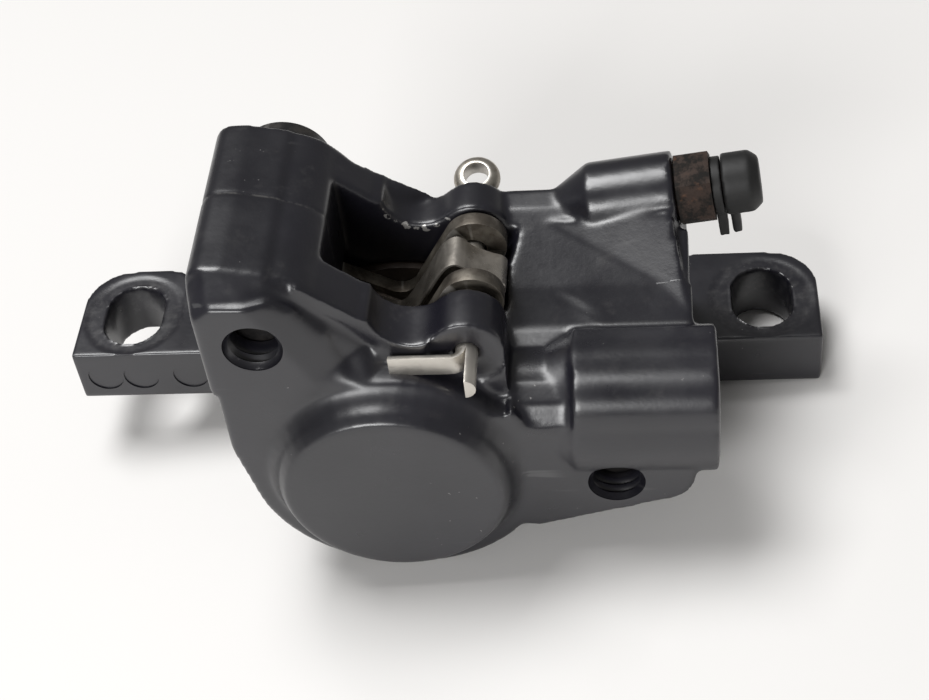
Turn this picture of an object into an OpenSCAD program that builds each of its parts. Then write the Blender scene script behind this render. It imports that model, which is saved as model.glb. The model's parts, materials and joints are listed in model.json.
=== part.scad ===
// Hydraulic disc brake caliper, post mount, two-piece body.
// Frame: origin midway between the two mounting slots, on the seat plane of the ears.
// +X runs along the ears towards the hose port, +Y towards the bolt heads, +Z up along the mounting bolts.

/* [Mounting ears] */
// Distance between the centres of the two mounting slots
slot_spacing = 74.2; // [73:0.1:75.5]
// Width of a mounting slot, for an M6 bolt
slot_w = 6.86; // [6.4:0.02:7.2]
// Length of a mounting slot across the caliper
slot_l = 9.4; // [8:0.1:10]
// Thickness of an ear
ear_h = 7.2; // [6:0.1:8.5]
// Outer end of the ears, from the middle
ear_end = 43.6; // [43:0.1:45]

/* [Rotor gap and pads] */
// Plane in the middle of the brake disc, behind the slot plane
disc_y = -14.4; // [-14.6:0.05:-14.2]
// Gap between the two linings with the pistons at rest
lining_gap = 2.4; // [2.2:0.1:3]
// Thickness of a new lining
lining_t = 2.1; // [1:0.05:2.1]
// Thickness of a steel backplate
plate_t = 1.7; // [1.4:0.1:1.8]
// Width of a pad
pad_w = 27; // [25:0.5:27]

/* [Pistons] */
// Diameter of a piston bore
bore_d = 22; // [20:0.5:22]
// Lean of the pads and the pistons' centre line from upright
lean = 30; // [28:0.5:32]

/* [Split pin] */
// Diameter of the closed shank
pin_d = 2.3; // [2:0.1:2.4]
// Length of the leg that is bent over
bent_leg = 6.2; // [5:0.1:8]

/* [Hose port] */
// Diameter of the port's thread
port_thread_d = 8; // [7:0.1:9]
// Outer diameter of the port's end
port_d = 15.2; // [14:0.1:15.6]

/* [Bleed nipple] */
// Hexagon across its flats
hex_af = 7; // [6:0.5:8]
// Outer diameter of the rubber cap
cap_d = 6.5; // [6.2:0.1:7.2]

/* [Hidden] */
$fn = 64;
cut = 1;            // how far a cutter runs past a face
ear_root_y = 3;     // back of an ear where it meets the body
run = 0.05;         // radial running clearance
soft_run = 0.04;    // radial clearance of a piston in its bore

// planes across the caliper, along Y
parting_y = -14.6;
slot_back_y = -8.65;                          // walls of the slot that holds the pads
slot_front_y = -20.55;
plate_back_y = -0.2;                          // outer faces of the two halves
plate_front_y = -29;
boss_back_y = 0.6;                            // flat ends of the piston housings
boss_front_y = -32.3;
block_back_y = -3.7;                          // block round the upper bolt
block_front_y = -25.6;
pin_boss_back_y = -4.3;
pin_boss_front_y = -25.9;
arm_front_y = -26.4;
pin_boss_r = 3.8;

// pistons and pads
piston = [-2.7, 11.5];                        // centre line, X and Z
bore_r = bore_d / 2;
piston_r = bore_r - soft_run;
housing_r = 15.6;
pin_u = 17.07;                                // pin above the piston centre, along the lean
pin = [piston[0] + pin_u * sin(lean), piston[1] + pin_u * cos(lean)];
rear_lining_y = disc_y + lining_gap / 2;
rear_plate_y = rear_lining_y + lining_t;
rear_piston_y = rear_plate_y + plate_t;
front_lining_y = disc_y - lining_gap / 2;
front_plate_y = front_lining_y - lining_t;
front_piston_y = front_plate_y - plate_t;
piston_l = 7.2;
bore_spare = 0.6;                             // depth of a bore behind its piston
piston_gap = 0.02;                            // between a piston and its backplate
bore_back_y = rear_piston_y + piston_gap + piston_l + bore_spare;
bore_front_y = front_piston_y - piston_gap - piston_l - bore_spare;
boss_r = 12.5;                                // root of the flat round housing end
seal_t = 2;
seal_w = 1.5;
seal_y = -6.6;                                // middle of the ring in the bore of each half
seal_front_y = -22.5;
stem_w = 6.6;                                 // upright tab of a backplate
stem_top = 17.6;                              // centre of its rounded end
pad_low = -8.3;                               // lowest edge of a pad along the lean
pad_shoulder = 7.6;                           // top of a pad's shoulders along the lean
pad_slot_w = pad_w + 0.6;

// bolts that hold the halves together
upper_bolt = [-14.6, 30.7];
lower_bolt = [20.2, 9.3];
bolt_r = 3;
thread_core_r = 2.55;
bolt_head_r = 5;
bolt_head_h = 6;
bolt_seat_y = -6.2;
bolt_end_y = -25.2;
lug_front_r = 4.6;
lug_back_r = 6.4;
hex_key = 5;

// hose port and passages
port_y = -22.4;
port_z = 15;
port_x = 30.8;
port_step_x = 16;
port_neck_r = 6.3;
port_thread_l = 6.8;
passage_r = 1.1;
passage_z = 16.4;
passage_y = -24.9;
feed_y = -3;                                  // passage into the rear piston bore
cross_x = 18.3;
o_ring_r = 1.95;                              // centre line of the O-ring
groove_depth = 1;

// bleed nipple
bleed_face = [27.2, -5, 28.2];                // end face of the bleed boss
bleed_tilt = 8;                               // the nipple's axis rises to the right
bleed_boss_r = 4.3;
bleed_boss_l = 9;
nipple_r = 2.95;
nipple_seat = -7;                             // along the axis, from the end face
hex_start = 0.2;
hex_l = 3.6;
hex_turn = 44;                                // one corner of the hexagon faces up and forward
ring_l = 1;
cap_l = 3.9;
stem_r = 2;
strap_w = 1;
strap_l = 3.4;

// ---- helpers ----

// A drawing in X and Z, made solid from y_low to y_high
module across(y_low, y_high) {
    translate([0, y_high, 0])
        rotate([90, 0, 0])
            linear_extrude(y_high - y_low)
                children();
}

// A drawing in Y and Z, made solid from x_low to x_high
module along(x_low, x_high) {
    translate([x_low, 0, 0])
        rotate([90, 0, 90])
            linear_extrude(x_high - x_low)
                children();
}

// A round bar along Y, centred on c in X and Z
module bar_y(c, r, y_low, y_high) {
    translate([c[0], y_high, c[1]])
        rotate([90, 0, 0])
            cylinder(r = r, h = y_high - y_low);
}

// A round bar along X
module bar_x(y, z, r, x_low, x_high) {
    translate([x_low, y, z])
        rotate([0, 90, 0])
            cylinder(r = r, h = x_high - x_low);
}

module disc(c, r) {
    translate(c)
        circle(r);
}

// A rectangle with one radius on all its corners
module rounded(x0, y0, x1, y1, r) {
    translate([x0 + r, y0])
        square([x1 - x0 - 2 * r, y1 - y0]);
    translate([x0, y0 + r])
        square([x1 - x0, y1 - y0 - 2 * r]);
    for (x = [x0 + r, x1 - r], y = [y0 + r, y1 - r])
        disc([x, y], r);
}

// Puts a drawing made in the pad's own axes, about the piston centre, onto X and Z
module leaning() {
    translate(piston)
        rotate(-lean)
            children();
}

// ---- castings ----

// Round piston housing with the lugs of both bolts
module housing_outline(lug_r) {
    disc(piston, housing_r);
    disc(lower_bolt, lug_r);
    disc([24.6, 9.8], 3.8);
    polygon([[-17.9, 8], [-19.5, 15.8], [-19.4, 34.6], [-18, 36.2], [-12.4, 36], [-10.2, 34.3], [-8, 30.8],
        [-6, 26], [9.4, 19], [28.5, 13], [28.3, 9], [24.8, 6], [11.7, 2.1]]);
}

// Block round the upper bolt, its top falling towards the pin boss
module upper_block_outline() {
    polygon([[-20.6, 22], [-20.7, 36.4], [-18.6, 38.5], [-17, 38.5], [-12.8, 37.6], [-8.3, 34.3], [-8.3, 22]]);
    disc([-18.6, 36.4], 2.1);
    disc([-13.6, 30.2], 7.1);
}

// Arm that drops from the upper block and rises to the pin boss through a round valley
module arm_outline() {
    difference() {
        polygon([[-10, 24], [-10, 36.3], [-8.3, 34.9], [-4.3, 31.6], [3.2, 29], [pin[0] + 3.8, pin[1]],
            [pin[0] + 3.8, 18]]);
        disc([0.44, 31.9], 4);
    }
    disc(pin, pin_boss_r);
}

// Deck over the right-hand end of the mounting half, falling towards the hose port
module deck_back_outline() {
    polygon([[plate_back_y, 7], [plate_back_y, 22], [block_back_y, 27.6], [-4.4, 28.6], [-7, 28.2],
        [parting_y, 23.9], [parting_y, 7]]);
}

// Deck of the hose half, down to the hose port
module deck_front_outline() {
    polygon([[parting_y, 9], [parting_y, 23.9], [-18, 21.4], [port_y, 20.6], [port_y, 9]]);
}

// Flat top and full front corner of the port's end
module port_shoulder_outline() {
    corner = [-25.2, 18.2];
    corner_r = 4.3;
    disc(corner, corner_r);
    translate([corner[0], port_z])
        square([6.1, corner[1] + corner_r - port_z]);
}

// Space for the pads and the disc, in the pad's own axes
module pad_space() {
    translate([-pad_slot_w / 2, -30])
        square([pad_slot_w, 30 + pad_shoulder + 0.8]);
    translate([-stem_w / 2 - 0.5, 0])
        square([stem_w + 1, 30]);
}

// Window to the left of the pads' tabs
module window_outline() {
    polygon([[-8.2, 22], [-8.2, 45], [4, 45], [4, 20], [-4, 20]]);
}

// Pocket in front of the arm, above the round housing
module pocket_outline() {
    difference() {
        polygon([[-8, 40], [-8, 30.8], [-6, 26], [2.2, 22.3], [9.4, 20], [14, 26], [14, 40]]);
        disc(piston, boss_r);
    }
}

// Flat round end of a piston housing, drafted towards its face
module housing_end(y_root, y_face) {
    translate([piston[0], y_root, piston[1]])
        rotate([y_face > y_root ? -90 : 90, 0, 0])
            cylinder(r1 = boss_r, r2 = boss_r - 1.2, h = abs(y_face - y_root));
}

// Puts a piece made along X, from the bleed boss's end face, onto the tilted bleed axis
module on_bleed_axis() {
    translate(bleed_face)
        rotate([0, -bleed_tilt, 0])
            children();
}

module ear(side) {
    x_in = side < 0 ? 12 : 17;
    x_step = side < 0 ? 31 : 27;
    x_root = side < 0 ? 17 : 25.5;
    difference() {
        linear_extrude(ear_h)
            union() {
                mirror([side < 0 ? 1 : 0, 0])
                    union() {
                        rounded(x_step, -6.7, ear_end, 7.5, 2.4);
                        translate([x_in, -6.7])
                            square([x_step + 3 - x_in, 6.7 + plate_back_y]);
                        translate([x_root, -6.7])
                            square([x_step + 1 - x_root, 6.7 + ear_root_y]);
                        translate([ear_end - 5, -6.7])
                            square([5, 8]);
                    }
            }
        // large radius on the outer back corner
        translate([0, 0, -cut])
            linear_extrude(ear_h + 2 * cut)
                mirror([side < 0 ? 1 : 0, 0])
                    difference() {
                        translate([ear_end - 5.4, 2.1])
                            square([6.4, 6.4]);
                        disc([ear_end - 5.4, 2.1], 5.4);
                    }
        // slot for the mounting bolt
        translate([side * slot_spacing / 2, 0, -cut])
            linear_extrude(ear_h + 2 * cut)
                union() {
                    for (end = [-1, 1])
                        disc([0, end * (slot_l - slot_w) / 2], slot_w / 2);
                    square([slot_w, slot_l - slot_w], center = true);
                }
    }
}

module mount_half() {
    color("#1c1b20")
        difference() {
            union() {
                across(parting_y, block_back_y)
                    union() {
                        housing_outline(lug_back_r);
                        upper_block_outline();
                    }
                across(block_back_y - cut, plate_back_y)
                    difference() {
                        housing_outline(lug_back_r);
                        translate([-30, 22])
                            square([60, 30]);
                    }
                across(slot_back_y, pin_boss_back_y)
                    arm_outline();
                housing_end(block_back_y - cut, boss_back_y);
                along(9.2, 28.3)
                    deck_back_outline();
                on_bleed_axis()
                    union() {
                        bar_x(0, 0, bleed_boss_r, -bleed_boss_l, 0);
                        translate([-bleed_boss_l, 0, 0])
                            rotate([0, -90, 0])
                                cylinder(r1 = bleed_boss_r, r2 = bleed_boss_r - 2.4, h = 4);
                    }
                ear(-1);
                ear(1);
            }
            pad_slot(parting_y - cut, slot_back_y);
            bar_y(piston, bore_r, parting_y, bore_back_y);
            bar_y(piston, bore_r + seal_w, seal_y - seal_t / 2, seal_y + seal_t / 2);
            for (b = [upper_bolt, lower_bolt]) {
                bar_y(b, bolt_r + 0.2, parting_y - cut, boss_back_y + cut);
                bar_y(b, bolt_head_r + 0.3, bolt_seat_y, boss_back_y + cut);
            }
            bar_y(pin, pin_d / 2 + run, parting_y - cut, boss_back_y + cut);
            on_bleed_axis()
                union() {
                    bar_x(0, 0, nipple_r + run, nipple_seat, cut);
                    bar_x(0, 0, passage_r, nipple_seat - 2, nipple_seat + cut);
                    bar_x(0, 0, 4.6, 0, 4);
                }
            translate([cross_x, bleed_face[1], passage_z])
                cylinder(r = passage_r, h = 10.6);
            bar_x(feed_y, passage_z, passage_r, piston[0] + bore_r - 2, cross_x);
            bar_y([cross_x, passage_z], passage_r, parting_y - cut, feed_y);
            bar_y([cross_x, passage_z], o_ring_r + groove_depth / 2, parting_y - cut, parting_y + groove_depth);
        }
}

// Half of the slot for the pads and the disc, with the window above it
module pad_slot(y_low, y_high) {
    across(y_low, y_high)
        union() {
            leaning()
                pad_space();
            window_outline();
        }
}

module hose_half() {
    color("#1c1b20")
        difference() {
            union() {
                across(plate_front_y, parting_y)
                    housing_outline(lug_front_r);
                across(block_front_y, parting_y)
                    upper_block_outline();
                across(arm_front_y, slot_front_y)
                    arm_outline();
                along(9.2, 28.5)
                    deck_front_outline();
                housing_end(plate_front_y + cut, boss_front_y);
                bar_x(port_y, port_z, port_neck_r, 3, port_step_x + cut);
                bar_x(port_y, port_z, port_d / 2, port_step_x, port_x);
                along(port_step_x, port_x)
                    port_shoulder_outline();
            }
            pad_slot(slot_front_y, parting_y + cut);
            bar_y(piston, bore_r, bore_front_y, parting_y);
            bar_y(piston, bore_r + seal_w, seal_front_y - seal_t / 2, seal_front_y + seal_t / 2);
            for (b = [upper_bolt, lower_bolt]) {
                bar_y(b, bolt_r, bolt_end_y - 0.3, parting_y + cut);
                bar_y(b, thread_core_r, boss_front_y - cut, parting_y + cut);
            }
            bar_y(pin, pin_d / 2 + run, boss_front_y - cut, parting_y + cut);
            across(plate_front_y - cut, arm_front_y)
                pocket_outline();
            bar_y(pin, pin_boss_r + 0.3, plate_front_y, pin_boss_front_y);
            bar_x(port_y, port_z, port_thread_d / 2, port_x - port_thread_l, port_x + cut);
            bar_x(passage_y, passage_z, passage_r, piston[0] + bore_r - 2, port_x - port_thread_l + cut);
            bar_y([cross_x, passage_z], passage_r, passage_y, parting_y + cut);
        }
}

// ---- fasteners ----

// Socket head cap screw, its thread drawn as a plain shank
module body_bolt(c) {
    color("#3a3a3e")
        difference() {
            union() {
                bar_y(c, bolt_r - run, bolt_end_y, bolt_seat_y + cut);
                bar_y(c, bolt_head_r, bolt_seat_y, bolt_seat_y + bolt_head_h);
            }
            translate([c[0], bolt_seat_y + bolt_head_h + cut, c[1]])
                rotate([90, 0, 0])
                    cylinder(d = hex_key / cos(30), h = 3 + cut, $fn = 6);
        }
}

module upper_body_bolt() {
    body_bolt(upper_bolt);
}

module lower_body_bolt() {
    body_bolt(lower_bolt);
}

// Split pin: eye, closed shank, one straight leg and one leg bent over
module split_pin() {
    r = pin_d / 2;
    eye_in = 1.4;
    eye_tilt = 20;
    neck_y = pin_boss_back_y + 1.2;
    turn_y = pin_boss_front_y - 0.3;
    turn_r = 1.5;
    leg_end_y = -30.9;
    color("#8d867c")
        union() {
            // eye, its far side tilted up
            translate([pin[0], neck_y, pin[1]])
                rotate([eye_tilt, 0, 0])
                    translate([0, eye_in + r, 0])
                        rotate_extrude()
                            intersection() {
                                translate([eye_in, 0])
                                    circle(r);
                                translate([eye_in, -r])
                                    square([2 * r, 2 * r]);
                            }
            bar_y(pin, r, turn_y, neck_y + 0.6);
            // straight leg, half round, flat to the left
            intersection() {
                bar_y(pin, r, leg_end_y, turn_y + 0.5);
                translate([pin[0] + 0.05, leg_end_y - cut, pin[1] - 3])
                    cube([3, 12, 6]);
            }
            // elbow of the bent leg
            translate([pin[0] - turn_r, turn_y, pin[1]])
                intersection() {
                    rotate_extrude()
                        translate([turn_r, 0])
                            intersection() {
                                circle(r);
                                translate([-2 * r, -r])
                                    square([2 * r, 2 * r]);
                                translate([-turn_r + 0.02, -r])
                                    square([4, 2 * r]);
                            }
                    translate([0, -4, -r])
                        cube([4, 4, 2 * r]);
                }
            // bent leg, half round, flat towards the front
            translate([pin[0] - turn_r, turn_y - turn_r, pin[1]])
                rotate([0, -90, 0])
                    intersection() {
                        cylinder(r = r, h = bent_leg);
                        translate([-2 * r, 0, 0])
                            cube([4 * r, 2 * r, bent_leg]);
                    }
        }
}

// ---- hydraulics ----

module cup(y_closed, y_open) {
    low = min(y_closed, y_open);
    high = max(y_closed, y_open);
    dir = sign(y_open - y_closed);
    difference() {
        bar_y(piston, piston_r, low, high);
        bar_y(piston, 7.6, dir > 0 ? y_open - 4.5 : low - cut, dir > 0 ? high + cut : y_open + 4.5);
    }
}

module mount_side_piston() {
    color("#d8d2c0")
        cup(bore_back_y - bore_spare, rear_piston_y + piston_gap);
}

module hose_side_piston() {
    color("#d8d2c0")
        cup(bore_front_y + bore_spare, front_piston_y - piston_gap);
}

// Square-section ring in its groove
module piston_seal(y) {
    color("#2b2b2b")
        difference() {
            bar_y(piston, bore_r + seal_w, y - seal_t / 2, y + seal_t / 2);
            bar_y(piston, piston_r + 0.02, y - seal_t, y + seal_t);
        }
}

module mount_side_piston_seal() {
    piston_seal(seal_y);
}

module hose_side_piston_seal() {
    piston_seal(seal_front_y);
}

module crossover_o_ring() {
    color("#2b2b2b")
        translate([cross_x, parting_y + groove_depth / 2, passage_z])
            rotate([90, 0, 0])
                rotate_extrude()
                    translate([o_ring_r, 0])
                        circle(groove_depth / 2, $fn = 24);
}

module bleed_nipple() {
    end = hex_start + hex_l;
    stem_end = end + ring_l + 2.7;
    color("#6b4a35")
        on_bleed_axis()
            difference() {
                union() {
                    bar_x(0, 0, nipple_r, nipple_seat + 0.6, hex_start + 0.4);
                    translate([nipple_seat + 0.1, 0, 0])
                        rotate([0, 90, 0])
                            cylinder(r1 = 1.6, r2 = nipple_r - 0.4, h = 0.6);
                    translate([hex_start, 0, 0])
                        rotate([0, 90, 0])
                            rotate([0, 0, hex_turn])
                                cylinder(d = hex_af / cos(30), h = hex_l, $fn = 6);
                    bar_x(0, 0, stem_r, end - 0.5, stem_end);
                }
                bar_x(0, 0, 0.7, nipple_seat + 2.5, stem_end + cut);
                translate([nipple_seat + 3, 0, -4])
                    cylinder(r = 0.6, h = 8);
            }
}

// A stub of the broken strap, hanging from a ring or cap that starts at x
module strap_stub(x) {
    translate([x, -1.3, -cap_d / 2 - strap_l + 0.6])
        cube([strap_w, 2.2, strap_l]);
}

module bleed_cap_ring() {
    x0 = hex_start + hex_l + 0.05;
    color("#1b1b1d")
        on_bleed_axis()
            difference() {
                union() {
                    bar_x(0, 0, cap_d / 2 - 0.2, x0, x0 + ring_l);
                    strap_stub(x0);
                }
                bar_x(0, 0, stem_r, x0 - cut, x0 + ring_l + cut);
            }
}

module bleed_cap() {
    x0 = hex_start + hex_l + ring_l + 0.15;
    color("#1b1b1d")
        on_bleed_axis()
            difference() {
                union() {
                    bar_x(0, 0, cap_d / 2, x0, x0 + cap_l - 1);
                    translate([x0 + cap_l - 1, 0, 0])
                        rotate([0, 90, 0])
                            cylinder(r1 = cap_d / 2, r2 = cap_d / 2 - 0.8, h = 1);
                    strap_stub(x0 + 0.3);
                }
                bar_x(0, 0, stem_r + run, x0 - cut, x0 + cap_l - 1.2);
            }
}

// ---- pads ----

// Outline of a backplate in the pad's own axes
module plate_outline() {
    difference() {
        union() {
            rounded(-pad_w / 2, pad_low, pad_w / 2, pad_shoulder, 3);
            translate([-stem_w / 2, 0])
                square([stem_w, stem_top]);
            disc([0, stem_top], stem_w / 2);
            // fillets where the tab meets the shoulders
            for (side = [-1, 1])
                difference() {
                    translate([side * stem_w / 2 + (side < 0 ? -2 : 0), pad_shoulder - 0.5])
                        square([2, 2.5]);
                    disc([side * (stem_w / 2 + 2), pad_shoulder + 2], 2);
                }
        }
        disc([0, pin_u], pin_d / 2 + 0.3);
    }
}

module lining_outline() {
    rounded(-pad_w / 2 + 0.5, pad_low + 0.3, pad_w / 2 - 0.5, pad_shoulder - 0.8, 3.5);
}

module mount_side_pad_plate() {
    color("#7d766b")
        across(rear_plate_y, rear_piston_y)
            leaning()
                plate_outline();
}

module hose_side_pad_plate() {
    color("#7d766b")
        across(front_piston_y, front_plate_y)
            leaning()
                plate_outline();
}

module mount_side_pad_lining() {
    color("#4a4038")
        across(rear_lining_y, rear_plate_y)
            leaning()
                lining_outline();
}

module hose_side_pad_lining() {
    color("#4a4038")
        across(front_plate_y, front_lining_y)
            leaning()
                lining_outline();
}

// Bent steel strip between the tabs: it lies on the pin, drops beside the tabs and spreads over the linings
module pad_spring() {
    t = 0.4;
    half_w = 2.1;
    top = pin_u + pin_d / 2 + 0.03;
    leg = stem_w / 2 + 0.1;
    foot = pad_shoulder - 0.4;
    under = [[0, top], [leg - 1, top + 0.35], [leg - t, 14], [leg - t, foot + 1], [leg + 1, foot], [10, foot]];
    over = [[10, foot + t], [leg + 1 + t / 2, foot + t], [leg, foot + 1 + t / 2], [leg, 14.1],
        [leg - 0.7, top + 0.35 + t], [0, top + t]];
    right = concat(under, over);
    color("#9a9184")
        across(disc_y - half_w, disc_y + half_w)
            leaning()
                polygon(concat(right, [for (i = [len(right) - 2:-1:1]) [-right[i][0], right[i][1]]]));
}

mount_half();
hose_half();
upper_body_bolt();
lower_body_bolt();
mount_side_piston();
hose_side_piston();
mount_side_piston_seal();
hose_side_piston_seal();
crossover_o_ring();
mount_side_pad_plate();
mount_side_pad_lining();
hose_side_pad_plate();
hose_side_pad_lining();
pad_spring();
split_pin();
bleed_nipple();
bleed_cap_ring();
bleed_cap();
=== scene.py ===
import json
from math import asin, atan2, cos, hypot, pi, radians, sin

import bmesh
import bpy
import numpy as np
from mathutils import Matrix, Vector


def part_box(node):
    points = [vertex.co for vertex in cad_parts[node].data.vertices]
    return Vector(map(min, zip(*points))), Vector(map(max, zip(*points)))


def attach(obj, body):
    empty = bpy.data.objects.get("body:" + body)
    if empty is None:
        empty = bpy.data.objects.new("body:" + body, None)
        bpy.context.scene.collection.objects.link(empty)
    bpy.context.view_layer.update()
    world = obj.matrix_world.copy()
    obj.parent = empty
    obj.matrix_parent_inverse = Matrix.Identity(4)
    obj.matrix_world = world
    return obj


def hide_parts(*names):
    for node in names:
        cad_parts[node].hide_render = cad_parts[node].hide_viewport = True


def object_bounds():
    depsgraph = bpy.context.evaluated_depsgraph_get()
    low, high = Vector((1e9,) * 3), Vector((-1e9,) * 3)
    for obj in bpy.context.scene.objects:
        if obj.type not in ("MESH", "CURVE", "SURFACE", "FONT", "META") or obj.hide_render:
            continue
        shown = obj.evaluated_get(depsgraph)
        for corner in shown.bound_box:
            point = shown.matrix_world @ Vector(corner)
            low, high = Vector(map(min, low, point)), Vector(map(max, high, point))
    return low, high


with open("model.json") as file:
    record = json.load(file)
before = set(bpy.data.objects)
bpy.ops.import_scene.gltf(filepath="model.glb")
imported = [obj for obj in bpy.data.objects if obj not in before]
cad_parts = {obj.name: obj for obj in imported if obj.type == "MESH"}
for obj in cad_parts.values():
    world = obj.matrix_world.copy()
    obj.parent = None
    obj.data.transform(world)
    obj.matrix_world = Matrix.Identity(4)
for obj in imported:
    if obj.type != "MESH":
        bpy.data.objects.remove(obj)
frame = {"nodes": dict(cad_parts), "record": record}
cad_low, cad_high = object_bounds()

# ---- places taken from the frame, in metres ----

MM = 0.001
mounts = {m["name"]: m for m in frame["record"]["mounts"]}
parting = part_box("hose_half")[1].y
ear_top = 7.2 * MM
ear_front = -6.7 * MM
piston_low, piston_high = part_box("mount_side_piston")
piston_at = (piston_low + piston_high) / 2
spring_low, spring_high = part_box("pad_spring")
port_at = Vector(mounts["hose_port"]["pos_m"])
port_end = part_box("hose_half")[1].x
plate_front = -29 * MM
lean = radians(30)
slots = [Vector(mounts[name]["pos_m"]) for name in ("left_slot", "right_slot")]


def bolt_axis(node):
    """The X and Z of a body bolt's centre line."""
    low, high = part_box(node)
    return (low.x + high.x) / 2, (low.z + high.z) / 2


upper_bolt = bolt_axis("upper_body_bolt")
lower_bolt = bolt_axis("lower_body_bolt")


def leaning(x, u):
    """A point of the pads' own axes, about the piston centre, in world X and Z."""
    across_pad = x * cos(lean) + u * sin(lean)
    up = u * cos(lean) - x * sin(lean)
    return piston_at.x + across_pad, piston_at.z + up


# ---- mesh helpers ----


def mesh_object(name, vertices, faces):
    """A new object with the given mesh, in the scene."""
    mesh = bpy.data.meshes.new(name)
    mesh.from_pydata([tuple(v) for v in vertices], [], faces)
    piece = bpy.data.objects.new(name, mesh)
    bpy.context.scene.collection.objects.link(piece)
    return piece


def tidy(piece):
    """Welds the mesh's seams and points its faces outwards."""
    work = bmesh.new()
    work.from_mesh(piece.data)
    bmesh.ops.remove_doubles(work, verts=work.verts, dist=1e-6)
    bmesh.ops.recalc_face_normals(work, faces=work.faces)
    work.to_mesh(piece.data)
    work.free()


def copy_of(node, name):
    """A copy of a CAD node's mesh, without its materials."""
    piece = bpy.data.objects.new(name, frame["nodes"][node].data.copy())
    bpy.context.scene.collection.objects.link(piece)
    piece.data.materials.clear()
    tidy(piece)
    return piece


def apply_modifier(piece, kind, **settings):
    """Runs one modifier on the piece's mesh."""
    modifier = piece.modifiers.new(kind.lower(), kind)
    for key, value in settings.items():
        setattr(modifier, key, value)
    graph = bpy.context.evaluated_depsgraph_get()
    piece.data = bpy.data.meshes.new_from_object(piece.evaluated_get(graph))
    piece.modifiers.clear()


def combine(piece, others, operation):
    """Adds, cuts or intersects the other pieces, which are used up."""
    for other in others:
        apply_modifier(piece, "BOOLEAN", operation=operation, object=other, solver="MANIFOLD")
        bpy.data.objects.remove(other)


def crisp(piece, angle=35):
    """Smooth shading, apart from edges sharper than the angle in degrees."""
    piece.data.shade_smooth()
    piece.data.set_sharp_from_angle(angle=radians(angle))


def softened(node, name, width, segments=2):
    """A CAD node with its sharp edges broken, as a machined or stamped part has them."""
    piece = copy_of(node, name)
    apply_modifier(piece, "BEVEL", width=width, segments=segments, limit_method="ANGLE",
                   angle_limit=radians(35))
    crisp(piece)
    return piece


def moulded(node, name, voxel, rounds):
    """A CAD node with its edges rounded over, as a moulded or worn part has them."""
    piece = copy_of(node, name)
    apply_modifier(piece, "REMESH", mode="VOXEL", voxel_size=voxel)
    apply_modifier(piece, "SMOOTH", factor=0.5, iterations=rounds)
    piece.data.shade_smooth()
    return piece


def lathe(name, start, axis, profile, steps=48):
    """A turned solid: profile is a list of (distance along the axis, radius)."""
    turn = Vector(axis).to_track_quat("Z", "Y").to_matrix()
    vertices, faces = [], []
    for along, radius in profile:
        for step in range(steps):
            a = 2 * pi * step / steps
            vertices.append(Vector(start) + turn @ Vector((radius * cos(a), radius * sin(a), along)))
    for ring in range(len(profile) - 1):
        for step in range(steps):
            following = (step + 1) % steps
            here, beyond = ring * steps, (ring + 1) * steps
            faces.append((here + step, here + following, beyond + following, beyond + step))
    faces.append(tuple(reversed(range(steps))))
    last = (len(profile) - 1) * steps
    faces.append(tuple(range(last, last + steps)))
    piece = mesh_object(name, vertices, faces)
    tidy(piece)
    return piece


def across(name, outline, low, high):
    """An outline in X and Z, in millimetres, made solid along Y."""
    count = len(outline)
    vertices = [(x * MM, y * MM, z * MM) for y in (low, high) for x, z in outline]
    faces = [tuple(range(count)), tuple(range(count, 2 * count))]
    for i in range(count):
        j = (i + 1) % count
        faces.append((i, j, count + j, count + i))
    piece = mesh_object(name, vertices, faces)
    tidy(piece)
    return piece


def thread_cutter(name, start, axis, radius, length, pitch=1.0 * MM, depth=0.42 * MM):
    """Cuts a tapped hole: ring grooves at the thread's pitch, behind a small countersink."""
    above, countersink = 1.5 * MM, 0.5 * MM
    mouth = radius + countersink
    profile = [(-above, mouth), (0, mouth), (countersink, radius)]
    at = countersink
    while at + pitch < length:
        profile += [(at + pitch / 2, radius + depth), (at + pitch, radius)]
        at += pitch
    profile.append((length, radius))
    return lathe(name, start, axis, profile)


# ---- the castings ----

CASTING_VOXEL = 0.3 * MM
CASTING_ROUNDS = 9
TAPPED_R, TAPPED_DEPTH = 2.5 * MM, 3.4 * MM
PORT_R, PORT_DEPTH = 3.95 * MM, 6.6 * MM
MARKS_X, MARKS_Z = (-40.2, -35.9, -29.9), 3.5


def hull(name, points):
    """The convex solid round a set of points in millimetres."""
    piece = mesh_object(name, [Vector(point) * MM for point in points], [])
    work = bmesh.new()
    work.from_mesh(piece.data)
    made = bmesh.ops.convex_hull(work, input=work.verts)
    inside = [g for g in made["geom_interior"] + made["geom_unused"] if isinstance(g, bmesh.types.BMVert)]
    bmesh.ops.delete(work, geom=inside, context="VERTS")
    work.to_mesh(piece.data)
    work.free()
    tidy(piece)
    return piece


def loft(name, outline_a, y_a, outline_b, y_b):
    """A convex solid between two outlines in X and Z at their own depths, in millimetres."""
    return hull(name, [(x, y_a, z) for x, z in outline_a] + [(x, y_b, z) for x, z in outline_b])


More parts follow.
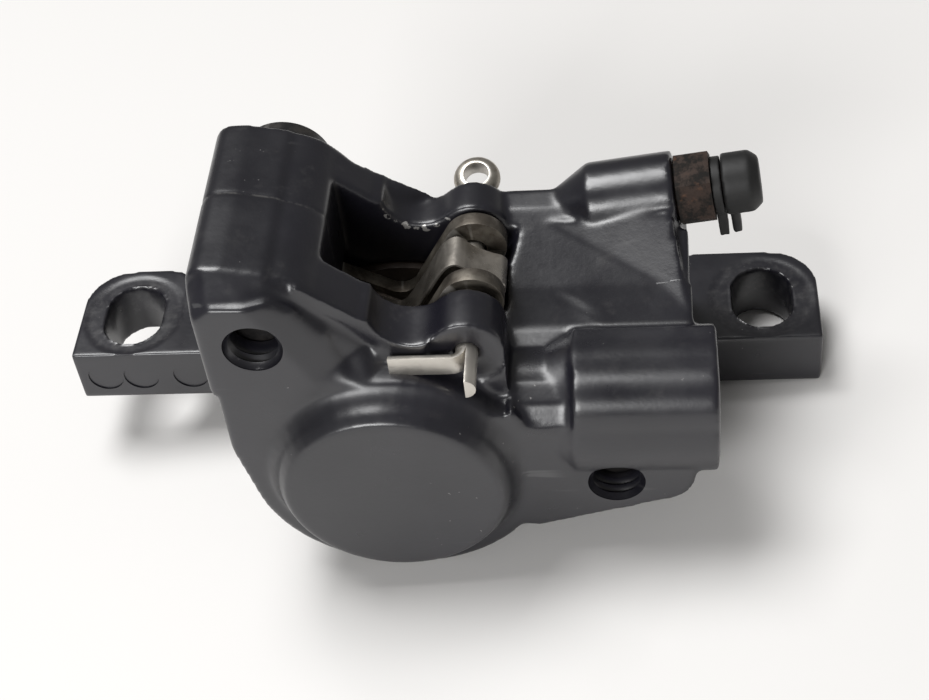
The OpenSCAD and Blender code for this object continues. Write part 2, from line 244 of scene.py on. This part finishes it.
def casting_blends():
    """Volumes that fill the castings' corners before they are rounded over."""
    port_y, port_z = port_at.y, port_at.z
    neck = lathe("neck_blend", (1 * MM, port_y, port_z), (1, 0, 0),
                 [(0, 4.4 * MM), (1.6 * MM, 5.8 * MM), (3.4 * MM, 6.25 * MM), (12.2 * MM, 6.3 * MM),
                  (15.4 * MM, 7.5 * MM), (17 * MM, 7.55 * MM)])
    # the block's front face slopes down to the plate, and on along the arm
    block = [(-20.7, 36.4), (-18.6, 38.5), (-17, 38.5), (-12.8, 37.6), (-8.3, 34.3), (-6.4, 31), (-6.4, 24),
             (-20.7, 24)]
    plate = [(-20, 34.6), (-18.2, 35.8), (-12.8, 35.3), (-9.8, 33), (-7.4, 30.4), (-7.4, 24), (-20, 24)]
    shoulder = loft("block_shoulder", block, -25.6, plate, -28.8)
    arm = [(-8.4, 34.2), (-2.2, 28.6), (-2.2, 24), (-8.4, 24)]
    foot = [(-9.8, 33), (-4.2, 27), (-4.2, 24), (-9.8, 24)]
    sweep = loft("arm_shoulder", arm, -25.9, foot, -28.4)
    # the rear arm keeps its height along its back edge
    saddle = hull("rear_saddle", [(-5.4, -4, 32.3), (-5.2, -6.2, 31.9), (1.2, -4, 28.2), (-5, -4, 27),
                                  (1.2, -4, 27), (-3, -7, 28.6)])
    # the port's neck runs out into the plate
    corner = [(-22, 21.2), (-25.4, 21), (-27.4, 20), (-28.8, 18), (-28.95, 14), (-28.9, 9), (-22, 9)]
    apron = hull("neck_apron", [(x, y, z) for x in (4, 15.5) for y, z in corner])
    # the deck ramps up to the front of the bleed boss
    ramp = hull("deck_ramp", [(12.5, -8.2, 27.4), (28.3, -17.4, 21.8), (26.6, -9.6, 29.4),
                              (26.6, -6, 24), (12.5, -9, 24), (28.3, -16, 18)])
    # the round housing swells out of the plate
    rings = [(25, 14.2), (28.8, 13.9), (29.5, 13), (30.3, 12.4), (31.3, 12), (32.2, 11.3)]
    swell = lathe("housing_foot", (piston_at.x, 0, piston_at.z), (0, -1, 0),
                  [(y * MM, r * MM) for y, r in rings])
    return [neck, shoulder, sweep, saddle, apron, ramp, swell]


def smoothstep(value):
    """Eases 0..1, and holds its ends outside."""
    value = np.clip(value, 0, 1)
    return value * value * (3 - 2 * value)


def read_mesh(piece):
    """The piece's points in millimetres and its normals."""
    count = len(piece.data.vertices)
    points, normals = np.zeros(count * 3), np.zeros(count * 3)
    piece.data.vertices.foreach_get("co", points)
    piece.data.vertices.foreach_get("normal", normals)
    return points.reshape(-1, 3) / MM, normals.reshape(-1, 3)


def write_mesh(piece, points):
    """Moves the piece's points, given in millimetres."""
    piece.data.vertices.foreach_set("co", (points * MM).ravel())
    piece.data.update()


def casting_slopes(piece):
    """The front plate falls away to the right of a ridge from the upper bolt to the round housing."""
    points = read_mesh(piece)[0]
    x, y, z = points.T
    ridge_x, ridge_z, housing_r = -11.3, 29.6, 13.6
    fall, width = 0.45, 5.5
    from_ridge = (x - ridge_x) * 0.88 + (z - ridge_z) * 0.47
    from_housing = np.hypot(x - piston_at.x / MM, z - piston_at.z / MM) - housing_r
    front = smoothstep((-y - 25.8) / 2.6) * smoothstep((1 - x) / 3)
    slope = np.clip(from_ridge, 0, width) * fall * smoothstep(from_housing / 2.6) * smoothstep((z - 19.5) / 2)
    points[:, 1] += front * slope
    write_mesh(piece, points)


def casting_relief(piece):
    """Shapes of the castings that are finer than their solids: a hollow, the open seam and worn seats."""
    points, normals = read_mesh(piece)
    x, y, z = points.T.copy()
    # long shallow hollow in the deck, just above the hose port
    hollow_x, hollow_y, hollow_depth = 16.4, -16.4, 0.22
    deck = smoothstep((normals[:, 2] - 0.5) / 0.2) * (z > 20) * (y < -8)
    lengthways = (x - hollow_x) * 0.9 - (y - hollow_y) * 0.44
    sideways = (x - hollow_x) * 0.44 + (y - hollow_y) * 0.9
    hollow = 1 - np.hypot(lengthways / 3.4, sideways / 1.1)
    points[:, 2] -= deck * smoothstep(hollow / 0.9) * hollow_depth
    # fine open line where the two halves meet
    seam_width, seam_depth = 0.28, 0.07
    seam = np.exp(-((y - parting / MM) / seam_width) ** 2) * smoothstep((7 - x) / 5)
    points -= normals * (seam * seam_depth)[:, None]
    # washer seats pressed into the paint round the slots
    seat_r, seat_edge, seat_depth = 6.2, 0.7, 0.15
    on_top = smoothstep((normals[:, 2] - 0.8) / 0.1) * (np.abs(z - ear_top / MM) < 0.5)
    for slot in slots:
        reach = np.hypot(x - slot.x / MM, (y - slot.y / MM) * 0.92)
        points[:, 2] -= on_top * smoothstep((seat_r - reach) / seat_edge) * seat_depth
    write_mesh(piece, points)


def half_space(name, low_y, high_y):
    """Everything between two depths: a block wider and taller than the casting, in millimetres."""
    return across(name, [(-60, -30), (60, -30), (60, 60), (-60, 60)], low_y, high_y)


def mark_cutter(name, x, z):
    """Cuts a shallow round ejector mark in the left ear's front face."""
    above, depth, radius = 0.5 * MM, 0.16 * MM, 2.1 * MM
    start = (x * MM, ear_front - above, z * MM)
    return lathe(name, start, (0, 1, 0), [(0, radius), (above + depth, radius)])


def castings():
    """Both halves, rounded over as one casting and then parted and machined."""
    whole = copy_of("mount_half", "whole_casting")
    combine(whole, [copy_of("hose_half", "front")] + casting_blends(), "UNION")
    apply_modifier(whole, "REMESH", mode="VOXEL", voxel_size=CASTING_VOXEL)
    casting_slopes(whole)
    apply_modifier(whole, "SMOOTH", factor=0.5, iterations=CASTING_ROUNDS)
    casting_relief(whole)
    rear = whole
    front = whole.copy()
    front.data = whole.data.copy()
    bpy.context.scene.collection.objects.link(front)
    parting_mm = parting / MM
    combine(rear, [half_space("keep_rear", parting_mm, 20)], "INTERSECT")
    combine(front, [half_space("keep_front", -50, parting_mm)], "INTERSECT")
    marks = [mark_cutter(f"mark_{x}", x, MARKS_Z) for x in MARKS_X]
    combine(rear, marks, "DIFFERENCE")
    cutters = [thread_cutter(f"tapped_{i}", (x, plate_front + 0.2 * MM, z), (0, 1, 0), TAPPED_R, TAPPED_DEPTH)
               for i, (x, z) in enumerate((upper_bolt, lower_bolt))]
    port_mouth = (port_end, port_at.y, port_at.z)
    cutters.append(thread_cutter("port_thread", port_mouth, (-1, 0, 0), PORT_R, PORT_DEPTH))
    combine(front, cutters, "DIFFERENCE")
    rear.name, front.name = "mount_half_casting", "hose_half_casting"
    for piece in (rear, front):
        crisp(piece, 50)
    return rear, front


# ---- sheet metal ----


def spline(points, steps):
    """A smooth line through the points."""
    points = [Vector(p) for p in points]
    padded = [2 * points[0] - points[1], *points, 2 * points[-1] - points[-2]]
    line = []
    for i in range(1, len(padded) - 2):
        a, b, c, d = padded[i - 1:i + 3]
        for step in range(steps):
            t = step / steps
            line.append(0.5 * (2 * b + (c - a) * t + (2 * a - 5 * b + 4 * c - d) * t * t
                               + (3 * b - a - 3 * c + d) * t ** 3))
    line.append(points[-1])
    return line


def pad_spring():
    """The bent strip between the tabs: thin, with broken edges and a rounded crest at the left."""
    half = 0.2
    centre = (spring_low.y + spring_high.y) / 2
    route = [(-9.6, 7.45), (-7, 7.45), (-4.7, 7.5), (-3.8, 8.3), (-3.55, 10), (-3.5, 13), (-3.55, 16.4),
             (-3.3, 18.2), (-2.7, 19.0), (-1.9, 18.95), (-0.6, 18.6), (1.4, 18.62), (2.6, 18.75),
             (3.25, 18.2), (3.5, 16.4), (3.5, 13), (3.55, 10), (3.8, 8.3), (4.7, 7.5), (7, 7.45), (9.6, 7.45)]
    line = spline([(x, u, 0) for x, u in route], 6)
    width = (spring_high.y - spring_low.y) / 2
    edge = 0.12 * MM
    section = [(-1, -width + edge), (-0.5, -width), (0.5, -width), (1, -width + edge),
               (1, width - edge), (0.5, width), (-0.5, width), (-1, width - edge)]
    vertices, faces = [], []
    for i, point in enumerate(line):
        ahead = line[min(i + 1, len(line) - 1)] - line[max(i - 1, 0)]
        side = Vector((-ahead.y, ahead.x, 0)).normalized()
        for out, aside in section:
            at = point + side * out * half
            x, z = leaning(at.x * MM, at.y * MM)
            vertices.append((x, centre + aside, z))
    count = len(section)
    for i in range(len(line) - 1):
        for j in range(count):
            k = (j + 1) % count
            faces.append((i * count + j, i * count + k, (i + 1) * count + k, (i + 1) * count + j))
    # the two cut ends
    faces.append(tuple(range(count)))
    faces.append(tuple(range((len(line) - 1) * count, len(line) * count)))
    piece = mesh_object("bent_spring", vertices, faces)
    tidy(piece)
    crisp(piece)
    return piece


# ---- materials ----


class Shader:
    """A procedural material, built from the object's own coordinates."""

    def __init__(self, name, **sockets):
        self.material = bpy.data.materials.new(name)
        self.material.use_nodes = True
        self.nodes = self.material.node_tree.nodes
        self.links = self.material.node_tree.links
        self.surface = self.nodes["Principled BSDF"]
        self.place = self.nodes.new("ShaderNodeTexCoord").outputs["Object"]
        for key, value in sockets.items():
            self.surface.inputs[key.replace("_", " ")].default_value = value

    def put(self, socket, value):
        """Sets a socket to a value, or links another socket to it."""
        if isinstance(value, (int, float, tuple)):
            socket.default_value = value
        else:
            self.links.new(value, socket)

    def noise(self, scale, detail=4.0, roughness=0.55, stretch=(1, 1, 1)):
        """Cloudy noise in 0..1, centred on 0.5."""
        mapping = self.nodes.new("ShaderNodeMapping")
        mapping.inputs["Scale"].default_value = stretch
        self.links.new(self.place, mapping.inputs["Vector"])
        node = self.nodes.new("ShaderNodeTexNoise")
        node.inputs["Scale"].default_value = scale
        node.inputs["Detail"].default_value = detail
        node.inputs["Roughness"].default_value = roughness
        self.links.new(mapping.outputs["Vector"], node.inputs["Vector"])
        return node.outputs["Fac"]

    def band(self, value, low, high, to_low=0.0, to_high=1.0):
        """Maps low..high to to_low..to_high, smoothly, and holds the ends outside."""
        node = self.nodes.new("ShaderNodeMapRange")
        node.interpolation_type = "SMOOTHSTEP"
        self.put(node.inputs["Value"], value)
        for key, number in (("From Min", low), ("From Max", high), ("To Min", to_low), ("To Max", to_high)):
            node.inputs[key].default_value = number
        return node.outputs["Result"]

    def math(self, operation, a, b=0.0):
        node = self.nodes.new("ShaderNodeMath")
        node.operation = operation
        self.put(node.inputs[0], a)
        self.put(node.inputs[1], b)
        return node.outputs[0]

    def mix(self, factor, a, b):
        node = self.nodes.new("ShaderNodeMix")
        node.data_type = "RGBA"
        self.put(node.inputs[0], factor)
        self.put(node.inputs[6], a)
        self.put(node.inputs[7], b)
        return node.outputs[2]

    def axis(self, letter):
        """One coordinate of the object."""
        node = self.nodes.new("ShaderNodeSeparateXYZ")
        self.links.new(self.place, node.inputs[0])
        return node.outputs[letter]

    def facing_up(self):
        """1 on top, 0 on walls and below."""
        node = self.nodes.new("ShaderNodeSeparateXYZ")
        self.links.new(self.nodes.new("ShaderNodeNewGeometry").outputs["Normal"], node.inputs[0])
        return self.band(node.outputs["Z"], 0.1, 0.8)

    def near(self, point, radius, full=0.0):
        """1 up to the inner radius round a point, falling to 0 at the outer radius."""
        node = self.nodes.new("ShaderNodeVectorMath")
        node.operation = "DISTANCE"
        self.links.new(self.place, node.inputs[0])
        node.inputs[1].default_value = point
        return self.band(node.outputs["Value"], radius, full)

    def edges(self, low, high):
        """Raised edges of the mesh."""
        return self.band(self.nodes.new("ShaderNodeNewGeometry").outputs["Pointiness"], low, high)

    def colour(self, value):
        self.put(self.surface.inputs["Base Color"], value)

    def roughness(self, value):
        self.put(self.surface.inputs["Roughness"], value)

    def metallic(self, value):
        self.put(self.surface.inputs["Metallic"], value)

    def bump(self, height, distance, strength=1.0):
        node = self.nodes.new("ShaderNodeBump")
        node.inputs["Strength"].default_value = strength
        node.inputs["Distance"].default_value = distance
        self.links.new(height, node.inputs["Height"])
        self.links.new(node.outputs["Normal"], self.surface.inputs["Normal"])


def grey(level, warm=0.0):
    return (level * (1 + warm), level, level * (1 - warm), 1.0)


def cast_paint():
    """Satin black paint on cast aluminium, with dust, fine scratches and a few chips down to the metal."""
    paint = Shader("cast_paint", Specular_IOR_Level=0.85)
    cloud = paint.band(paint.noise(60, 4), 0.4, 0.7)
    base = paint.mix(cloud, (0.0062, 0.0060, 0.0098, 1), (0.0100, 0.0096, 0.0148, 1))
    dust = paint.math("MULTIPLY", paint.band(paint.noise(260, 6, 0.7), 0.54, 0.8), paint.facing_up())
    base = paint.mix(paint.math("MULTIPLY", dust, 0.2), base, (0.13, 0.125, 0.12, 1))
    # pale dirt in the parting line
    apart = paint.math("ABSOLUTE", paint.math("SUBTRACT", paint.axis("Y"), parting))
    patchy = paint.band(paint.noise(700, 4, 0.7), 0.42, 0.66)
    line = paint.math("MULTIPLY", paint.band(apart, 0.22 * MM, 0.04 * MM), patchy)
    line = paint.math("MULTIPLY", line, paint.band(paint.axis("X"), 4 * MM, -4 * MM, 0.02, 0.45))
    base = paint.mix(line, base, (0.13, 0.125, 0.12, 1))
    # rubbed seats round the slots
    for slot in slots:
        seat = paint.near((slot.x, slot.y, ear_top), 6.6 * MM, 5.9 * MM)
        rubbed = paint.math("MULTIPLY", seat, paint.band(paint.noise(900, 5, 0.75), 0.42, 0.72))
        base = paint.mix(paint.math("MULTIPLY", rubbed, 0.16), base, (0.22, 0.215, 0.21, 1))
    speck = paint.band(paint.noise(1500, 2, 0.6), 0.735, 0.76)
    speck = paint.math("MULTIPLY", speck, paint.band(paint.noise(90, 2), 0.5, 0.62))
    base = paint.mix(paint.math("MULTIPLY", speck, 0.55), base, (0.35, 0.34, 0.33, 1))
    scratch = paint.band(paint.noise(420, 3, 0.5, (0.06, 1, 1)), 0.68, 0.71)
    scratch = paint.math("MULTIPLY", scratch, paint.band(paint.noise(70, 2), 0.52, 0.66))
    base = paint.mix(paint.math("MULTIPLY", scratch, 0.25), base, (0.16, 0.16, 0.16, 1))
    chips = 0.0
    for point, radius in CHIPS:
        chips = paint.math("MAXIMUM", chips, paint.near(point, radius))
    ragged = paint.math("MULTIPLY", chips, paint.band(paint.noise(1300, 3, 0.6), 0.38, 0.6))
    bare = paint.band(ragged, 0.22, 0.27)
    paint.colour(paint.mix(bare, base, (0.5, 0.49, 0.47, 1)))
    paint.metallic(paint.math("MULTIPLY", bare, 0.7))
    paint.roughness(paint.band(paint.noise(150, 5, 0.6), 0.3, 0.7, 0.27, 0.38))
    paint.bump(paint.noise(1900, 3, 0.6), 0.00003, 0.35)
    return paint.material


def stained_steel(name, light, dark, stain, rough, darker_left=None):
    """Dull steel, stained brown, rubbed bright on its edges, and darker towards the left of a span of X if
    given.
    """
    steel = Shader(name, Metallic=0.85)
    patch = steel.band(steel.noise(320, 5, 0.65), 0.42, 0.66)
    base = steel.mix(patch, light, dark)
    spots = steel.band(steel.noise(900, 4, 0.7), 0.55, 0.7)
    base = steel.mix(steel.math("MULTIPLY", spots, 0.7), base, stain)
    bright = steel.edges(0.52, 0.6)
    base = steel.mix(steel.math("MULTIPLY", bright, 0.6), base, (0.7, 0.67, 0.62, 1))
    if darker_left is not None:
        low, high = darker_left
        # darker towards the left of the given span of X, fading out to the right
        base = steel.mix(steel.band(steel.axis("X"), high, low, 0.0, 0.75), base, (0.05, 0.042, 0.034, 1))
    steel.colour(base)
    steel.roughness(steel.band(steel.noise(500, 4), 0.3, 0.7, rough - 0.08, rough + 0.12))
    steel.bump(steel.noise(1600, 4, 0.6), 0.00004, 0.5)
    return steel.material


def rusty_hexagon():
    """Brown rust with black grime."""
    rust = Shader("rusty_hexagon", Metallic=0.25)
    patch = rust.band(rust.noise(500, 6, 0.7), 0.42, 0.6)
    base = rust.mix(patch, (0.034, 0.019, 0.013, 1), (0.008, 0.007, 0.006, 1))
    orange = rust.band(rust.noise(800, 4, 0.6), 0.6, 0.74)
    rust.colour(rust.mix(rust.math("MULTIPLY", orange, 0.6), base, (0.11, 0.05, 0.026, 1)))
    rust.roughness(rust.band(patch, 0, 1, 0.7, 0.9))
    rust.bump(rust.noise(1400, 5, 0.7), 0.00012, 0.8)
    return rust.material


def rubber(name, level):
    soft = Shader(name, Specular_IOR_Level=0.4)
    dusty = soft.band(soft.noise(400, 5, 0.7), 0.5, 0.75)
    soft.colour(soft.mix(soft.math("MULTIPLY", dusty, 0.4), grey(level), grey(level * 4, 0.05)))
    soft.roughness(soft.band(dusty, 0, 1, 0.55, 0.75))
    soft.bump(soft.noise(1200, 3), 0.00003, 0.4)
    return soft.material


def friction_lining():
    """Pressed friction compound, with dark grains and bright flecks."""
    lining = Shader("friction_lining")
    grain = lining.band(lining.noise(1300, 5, 0.7), 0.4, 0.62)
    base = lining.mix(grain, (0.05, 0.04, 0.032, 1), (0.11, 0.09, 0.075, 1))
    fleck = lining.band(lining.noise(2600, 2), 0.68, 0.72)
    lining.colour(lining.mix(fleck, base, (0.45, 0.36, 0.2, 1)))
    lining.roughness(lining.band(grain, 0, 1, 0.8, 0.95))
    lining.bump(grain, 0.00008, 0.8)
    return lining.material


def piston_resin():
    """Dark moulded phenolic resin."""
    resin = Shader("piston_resin")
    cloud = resin.band(resin.noise(200, 4), 0.35, 0.7)
    resin.colour(resin.mix(cloud, (0.026, 0.019, 0.015, 1), (0.045, 0.034, 0.027, 1)))
    resin.roughness(resin.band(cloud, 0, 1, 0.35, 0.5))
    resin.bump(resin.noise(900, 3), 0.00002, 0.3)
    return resin.material


def black_oxide():
    oxide = Shader("black_oxide", Metallic=0.6)
    patch = oxide.band(oxide.noise(420, 5, 0.65), 0.4, 0.68)
    base = oxide.mix(patch, (0.022, 0.022, 0.025, 1), (0.05, 0.045, 0.042, 1))
    oxide.colour(oxide.mix(oxide.math("MULTIPLY", oxide.edges(0.52, 0.6), 0.5), base, (0.25, 0.24, 0.23, 1)))
    oxide.roughness(oxide.band(patch, 0, 1, 0.35, 0.6))
    oxide.bump(oxide.noise(1300, 4), 0.00003, 0.4)
    return oxide.material


def give(piece, material):
    """Puts one material on a piece or a CAD node."""
    piece.data.materials.clear()
    piece.data.materials.append(material)


# chips down to the metal: a nick on the front slope of the block, and a worn run along the rear arm's edge
arm_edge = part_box("mount_side_pad_plate")[1].y + 0.3 * MM
CHIPS = [((-8.6 * MM, -27.2 * MM, 33.8 * MM), 0.8 * MM)]
CHIPS += [((x * MM, arm_edge, z * MM), r * MM)
          for x, z, r in ((-3.6, 30.2, 0.9), (-2.9, 29.4, 1.1), (-2.1, 28.6, 0.95), (-1.2, 28.0, 1.15),
                          (-0.2, 27.6, 0.9), (0.8, 27.5, 1.05), (1.9, 27.8, 0.9), (3.0, 28.5, 1.0))]


# ---- the piece by piece build ----


def stand_for(piece, node, body, material):
    """Puts a shaped piece in a CAD node's place, on the body that moves it."""
    give(piece, material)
    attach(piece, body)
    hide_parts(node)


def build():
    paint = cast_paint()
    rear, front = castings()
    stand_for(rear, "mount_half", "caliper_body", paint)
    stand_for(front, "hose_half", "caliper_body", paint)
    oxide = black_oxide()
    for node in ("upper_body_bolt", "lower_body_bolt"):
        stand_for(softened(node, node + "_head", 0.35 * MM, 3), node, "caliper_body", oxide)
    plate = stained_steel("pad_plate_steel", (0.2, 0.18, 0.15, 1), (0.09, 0.075, 0.06, 1),
                          (0.06, 0.042, 0.03, 1), 0.45)
    lining = friction_lining()
    for side in ("mount", "hose"):
        body = side + "_pad"
        node = side + "_side_pad_plate"
        stand_for(softened(node, node + "_stamped", 0.22 * MM, 3), node, body, plate)
        node = side + "_side_pad_lining"
        stand_for(softened(node, node + "_block", 0.4 * MM, 3), node, body, lining)
    resin = piston_resin()
    seal = rubber("seal_rubber_black", 0.012)
    for side in ("mount", "hose"):
        node = side + "_side_piston"
        stand_for(softened(node, node + "_cup", 0.4 * MM, 3), node, side + "_piston", resin)
        give(frame["nodes"][node + "_seal"], seal)
    give(frame["nodes"]["crossover_o_ring"], seal)
    bright = stained_steel("spring_steel_worn", (0.44, 0.40, 0.35, 1), (0.27, 0.24, 0.20, 1),
                           (0.12, 0.09, 0.06, 1), 0.34, (-1 * MM, 6 * MM))
    stand_for(pad_spring(), "pad_spring", "caliper_body", bright)
    wire = stained_steel("pin_steel_worn", (0.46, 0.43, 0.38, 1), (0.36, 0.33, 0.28, 1),
                         (0.24, 0.19, 0.14, 1), 0.36)
    stand_for(softened("split_pin", "split_pin_wire", 0.12 * MM, 2), "split_pin", "pin", wire)
    stand_for(softened("bleed_nipple", "bleed_nipple_hexagon", 0.25 * MM, 3), "bleed_nipple", "nipple",
              rusty_hexagon())
    cap = rubber("cap_rubber_black", 0.01)
    ring = moulded("bleed_cap_ring", "bleed_cap_ring_rubber", 0.1 * MM, 5)
    stand_for(ring, "bleed_cap_ring", "nipple", cap)
    stand_for(moulded("bleed_cap", "bleed_cap_rubber", 0.2 * MM, 14), "bleed_cap", "cap", cap)


# ---- the stage ----

SENSOR_W, LENS = 36.0, 67.815
CAMERA_AT = (23.0 * MM, -145.0 * MM, 151.5 * MM)


def floor():
    """The table, touching the round housing and the end of the right-hand ear."""
    ear_corner = (cad_high.x, 0.0)
    housing_r = 15.6 * MM
    dx, dz = ear_corner[0] - piston_at.x, piston_at.z
    tilt = asin(housing_r / hypot(dx, dz)) - atan2(dz, dx)
    half = 3.0
    corners = [(-half, -half, 0), (half, -half, 0), (half, half, 0), (-half, half, 0)]
    table_top = mesh_object("table", corners, [(0, 1, 2, 3)])
    table_top.matrix_world = Matrix.Translation((ear_corner[0], 0, 0)) @ Matrix.Rotation(-tilt, 4, "Y")
    pale = Shader("pale_table")
    pale.colour(pale.mix(pale.noise(3, 2), (0.80, 0.785, 0.77, 1), (0.83, 0.82, 0.805, 1)))
    pale.roughness(pale.band(pale.noise(8, 2), 0.3, 0.7, 0.55, 0.65))
    give(table_top, pale.material)


def camera():
    """Looks down at 46 degrees from the front, a little from the right, and rolled by 7.5 degrees."""
    yaw, pitch, roll = radians(-8.28), radians(46.05), radians(7.5)
    ahead = Vector((sin(yaw) * cos(pitch), cos(yaw) * cos(pitch), -sin(pitch)))
    level = Vector((cos(yaw), -sin(yaw), 0))
    up = level.cross(ahead)
    right = cos(roll) * level - sin(roll) * up
    top = sin(roll) * level + cos(roll) * up
    data = bpy.data.cameras.new("camera")
    data.sensor_width = SENSOR_W
    data.lens = LENS
    data.clip_start = 0.01
    seen = bpy.data.objects.new("camera", data)
    bpy.context.scene.collection.objects.link(seen)
    turn = Matrix((right, top, -ahead)).transposed().to_4x4()
    seen.matrix_world = Matrix.Translation(CAMERA_AT) @ turn
    bpy.context.scene.camera = seen


def light(name, place, target, size, power):
    """A rectangular lamp turned towards the target."""
    data = bpy.data.lights.new(name, "AREA")
    data.shape = "RECTANGLE"
    data.size, data.size_y = size
    data.energy = power
    lamp = bpy.data.objects.new(name, data)
    bpy.context.scene.collection.objects.link(lamp)
    lamp.location = place
    lamp.rotation_mode = "QUATERNION"
    lamp.rotation_quaternion = (Vector(target) - Vector(place)).to_track_quat("-Z", "Y")


def lights():
    """A broad lamp overhead, a window in front on the left, and the room's own light."""
    middle = (0, -0.015, 0.015)
    light("ceiling", (-0.25, 0.12, 0.72), middle, (0.42, 0.36), 5.2)
    light("window", (-0.24, -0.70, 0.36), middle, (0.34, 0.2), 3.6)
    world = bpy.data.worlds.new("room")
    world.use_nodes = True
    background = world.node_tree.nodes["Background"]
    background.inputs["Color"].default_value = (1, 0.985, 0.965, 1)
    background.inputs["Strength"].default_value = 0.17
    bpy.context.scene.world = world
    bpy.context.scene.view_settings.view_transform = "Standard"


camera()
build()
floor()
lights()
